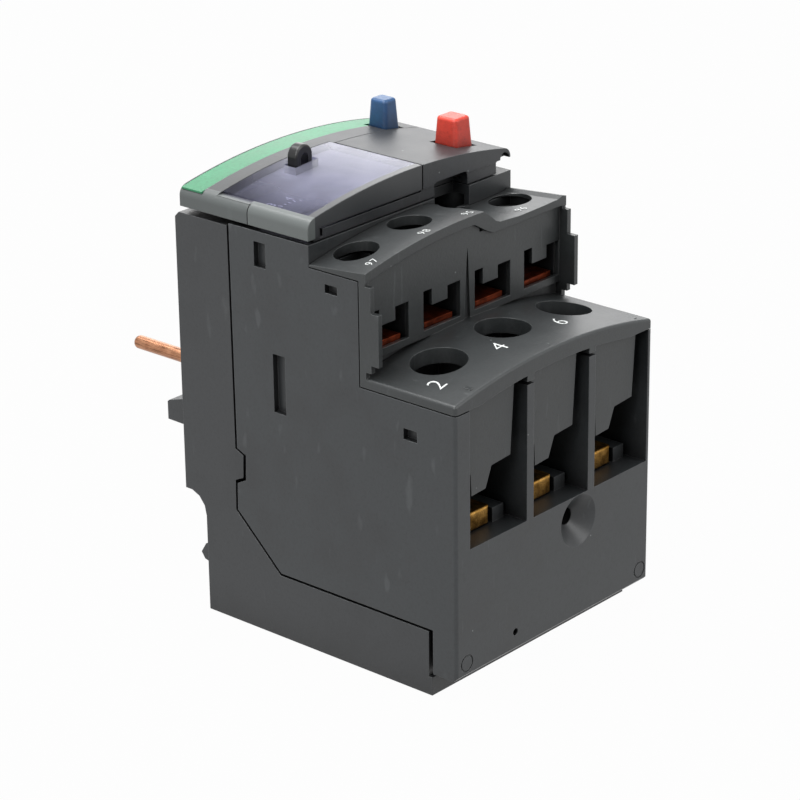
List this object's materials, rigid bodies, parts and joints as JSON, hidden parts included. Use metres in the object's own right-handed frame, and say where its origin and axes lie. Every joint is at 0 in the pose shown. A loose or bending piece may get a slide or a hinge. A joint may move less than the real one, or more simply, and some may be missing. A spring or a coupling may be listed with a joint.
{
  "type": "thermal overload relay",
  "caption": "Three-pole thermal overload relay with screw terminals, setting dial under a clear flap, reset and stop buttons, and pins for a contactor.",
  "frame": {"origin": "under the middle of the bounding box, on the flat rear face", "axes": "+X across the poles, +Y from the load terminals to the contactor pins, +Z out of the operating face"},
  "size_m": [0.045, 0.0688, 0.0726],
  "materials": {
    "housing_plastic": "moulded glass-filled polyamide, fine grain",
    "shroud_plastic": "moulded polyamide, fine grain",
    "cover_plastic": "moulded polyamide, satin",
    "window_plastic": "clear moulded polycarbonate",
    "green_label": "smooth inlaid strip",
    "black_plastic": "black moulded loop",
    "dial_plastic": "moulded dial",
    "blue_plastic": "smooth moulded button",
    "red_plastic": "smooth moulded button",
    "steel": "zinc-plated steel",
    "brass": "plain brass",
    "copper": "bare copper",
    "mechanism_plastic": "moulded acetal",
    "bimetal": "rolled bimetal strip",
    "silver": "silver alloy contact"
  },
  "bodies": {
    "case": {"rear_shell": "housing_plastic", "main_housing": "housing_plastic", "terminal_shroud": "shroud_plastic", "front_cover": "cover_plastic", "stop_panel": "cover_plastic", "hinge_pin": "steel", "sealing_eyelet": "black_plastic", "label_strip": "green_label", "scale_plate": "cover_plastic", "case_screw": "steel", "power_bridges": "steel", "aux_bridges": "steel", "nc_contact_a": "copper", "nc_contact_b": "copper", "no_contact_a": "copper", "no_contact_b": "copper", "lever_pin": "steel", "rocker_pin": "steel", "reset_spring": "steel", "stop_spring": "steel", "terminal_bar_1": "brass", "bimetal_1": "bimetal", "heater_1": "steel", "power_pin_1": "copper", "terminal_bar_2": "brass", "bimetal_2": "bimetal", "heater_2": "steel", "power_pin_2": "copper", "terminal_bar_3": "brass", "bimetal_3": "bimetal", "heater_3": "steel", "power_pin_3": "copper"},
    "window": {"window_flap": "window_plastic"},
    "dial": {"setting_dial": "dial_plastic", "dial_cam": "mechanism_plastic"},
    "reset": {"reset_button": "blue_plastic"},
    "stop": {"stop_button": "red_plastic"},
    "overload_bar": {"overload_slide": "mechanism_plastic"},
    "phase_bar": {"phase_slide": "mechanism_plastic"},
    "lever": {"compensating_lever": "mechanism_plastic"},
    "rocker": {"trip_rocker": "mechanism_plastic", "nc_bridge": "silver", "no_bridge": "silver"},
    "power_screw_1": {"power_screw_1": "steel"},
    "power_saddle_1": {"power_saddle_1": "steel"},
    "power_screw_2": {"power_screw_2": "steel"},
    "power_saddle_2": {"power_saddle_2": "steel"},
    "power_screw_3": {"power_screw_3": "steel"},
    "power_saddle_3": {"power_saddle_3": "steel"},
    "aux_screw_1": {"aux_screw_1": "steel"},
    "aux_saddle_1": {"aux_saddle_1": "steel"},
    "aux_screw_2": {"aux_screw_2": "steel"},
    "aux_saddle_2": {"aux_saddle_2": "steel"},
    "aux_screw_3": {"aux_screw_3": "steel"},
    "aux_saddle_3": {"aux_saddle_3": "steel"},
    "aux_screw_4": {"aux_screw_4": "steel"},
    "aux_saddle_4": {"aux_saddle_4": "steel"}
  },
  "joints": [
    {"name": "window_hinge", "type": "hinge", "parent": "case", "child": "window", "pos_m": [-0.02175, -0.00135, 0.06605], "axis": [0, -1, 0], "range_deg": [0, 88]},
    {"name": "setting_turn", "type": "hinge", "parent": "case", "child": "dial", "pos_m": [-0.0137, -0.00055, 0.065], "axis": [0, 0, -1], "range_deg": [0, 270]},
    {"name": "reset_push", "type": "slide", "parent": "case", "child": "reset", "axis": [0, 0, -1], "range_m": [0, 0.0025], "stiffness_N_per_m": 600, "deforming": ["reset_spring"]},
    {"name": "stop_push", "type": "slide", "parent": "case", "child": "stop", "axis": [0, 0, -1], "range_m": [0, 0.0025], "stiffness_N_per_m": 600, "deforming": ["stop_spring"]},
    {"name": "overload_travel", "type": "slide", "parent": "case", "child": "overload_bar", "axis": [1, 0, 0], "range_m": [0, 0.0024], "stiffness_N_per_m": 60},
    {"name": "phase_travel", "type": "slide", "parent": "case", "child": "phase_bar", "axis": [-1, 0, 0], "range_m": [0, 0.0012], "stiffness_N_per_m": 60},
    {"name": "lever_swing", "type": "hinge", "parent": "case", "child": "lever", "pos_m": [0.0142, 0.00505, 0.0515], "axis": [0, -1, 0], "range_deg": [0, 21.2]},
    {"name": "trip_rock", "type": "hinge", "parent": "case", "child": "rocker", "pos_m": [0.0015, 0.00115, 0.0535], "axis": [0, -1, 0], "range_deg": [0, 12.1]},
    {"name": "power_screw_1_turn", "type": "hinge", "parent": "case", "child": "power_screw_1", "pos_m": [-0.01352, -0.02375, 0.042], "axis": [0, 0, -1], "range_deg": [0, 2161]},
    {"name": "power_saddle_1_travel", "type": "slide", "parent": "case", "child": "power_saddle_1", "axis": [0, 0, -1], "range_m": [0, 0.0042]},
    {"name": "power_screw_2_turn", "type": "hinge", "parent": "case", "child": "power_screw_2", "pos_m": [0.00068, -0.02375, 0.042], "axis": [0, 0, -1], "range_deg": [0, 2161]},
    {"name": "power_saddle_2_travel", "type": "slide", "parent": "case", "child": "power_saddle_2", "axis": [0, 0, -1], "range_m": [0, 0.0042]},
    {"name": "power_screw_3_turn", "type": "hinge", "parent": "case", "child": "power_screw_3", "pos_m": [0.01488, -0.02375, 0.042], "axis": [0, 0, -1], "range_deg": [0, 2161]},
    {"name": "power_saddle_3_travel", "type": "slide", "parent": "case", "child": "power_saddle_3", "axis": [0, 0, -1], "range_m": [0, 0.0042]},
    {"name": "aux_screw_1_turn", "type": "hinge", "parent": "case", "child": "aux_screw_1", "pos_m": [-0.0169, -0.01135, 0.058], "axis": [0, 0, -1], "range_deg": [0, 1441]},
    {"name": "aux_saddle_1_travel", "type": "slide", "parent": "case", "child": "aux_saddle_1", "axis": [0, 0, -1], "range_m": [0, 0.0024]},
    {"name": "aux_screw_2_turn", "type": "hinge", "parent": "case", "child": "aux_screw_2", "pos_m": [-0.0055, -0.01135, 0.058], "axis": [0, 0, -1], "range_deg": [0, 1441]},
    {"name": "aux_saddle_2_travel", "type": "slide", "parent": "case", "child": "aux_saddle_2", "axis": [0, 0, -1], "range_m": [0, 0.0024]},
    {"name": "aux_screw_3_turn", "type": "hinge", "parent": "case", "child": "aux_screw_3", "pos_m": [0.0059, -0.01135, 0.058], "axis": [0, 0, -1], "range_deg": [0, 1441]},
    {"name": "aux_saddle_3_travel", "type": "slide", "parent": "case", "child": "aux_saddle_3", "axis": [0, 0, -1], "range_m": [0, 0.0024]},
    {"name": "aux_screw_4_turn", "type": "hinge", "parent": "case", "child": "aux_screw_4", "pos_m": [0.0173, -0.01135, 0.058], "axis": [0, 0, -1], "range_deg": [0, 1441]},
    {"name": "aux_saddle_4_travel", "type": "slide", "parent": "case", "child": "aux_saddle_4", "axis": [0, 0, -1], "range_m": [0, 0.0024]}
  ],
  "couplings": [
    {"joint": "lever_swing", "follows": "overload_travel", "rad_per_m": 153.8},
    {"joint": "trip_rock", "follows": "overload_travel", "rad_per_m": 87},
    {"joint": "power_screw_1_turn", "follows": "power_saddle_1_travel", "rad_per_m": 8976},
    {"joint": "power_screw_2_turn", "follows": "power_saddle_2_travel", "rad_per_m": 8976},
    {"joint": "power_screw_3_turn", "follows": "power_saddle_3_travel", "rad_per_m": 8976},
    {"joint": "aux_screw_1_turn", "follows": "aux_saddle_1_travel", "rad_per_m": 10472},
    {"joint": "aux_screw_2_turn", "follows": "aux_saddle_2_travel", "rad_per_m": 10472},
    {"joint": "aux_screw_3_turn", "follows": "aux_saddle_3_travel", "rad_per_m": 10472},
    {"joint": "aux_screw_4_turn", "follows": "aux_saddle_4_travel", "rad_per_m": 10472}
  ]
}
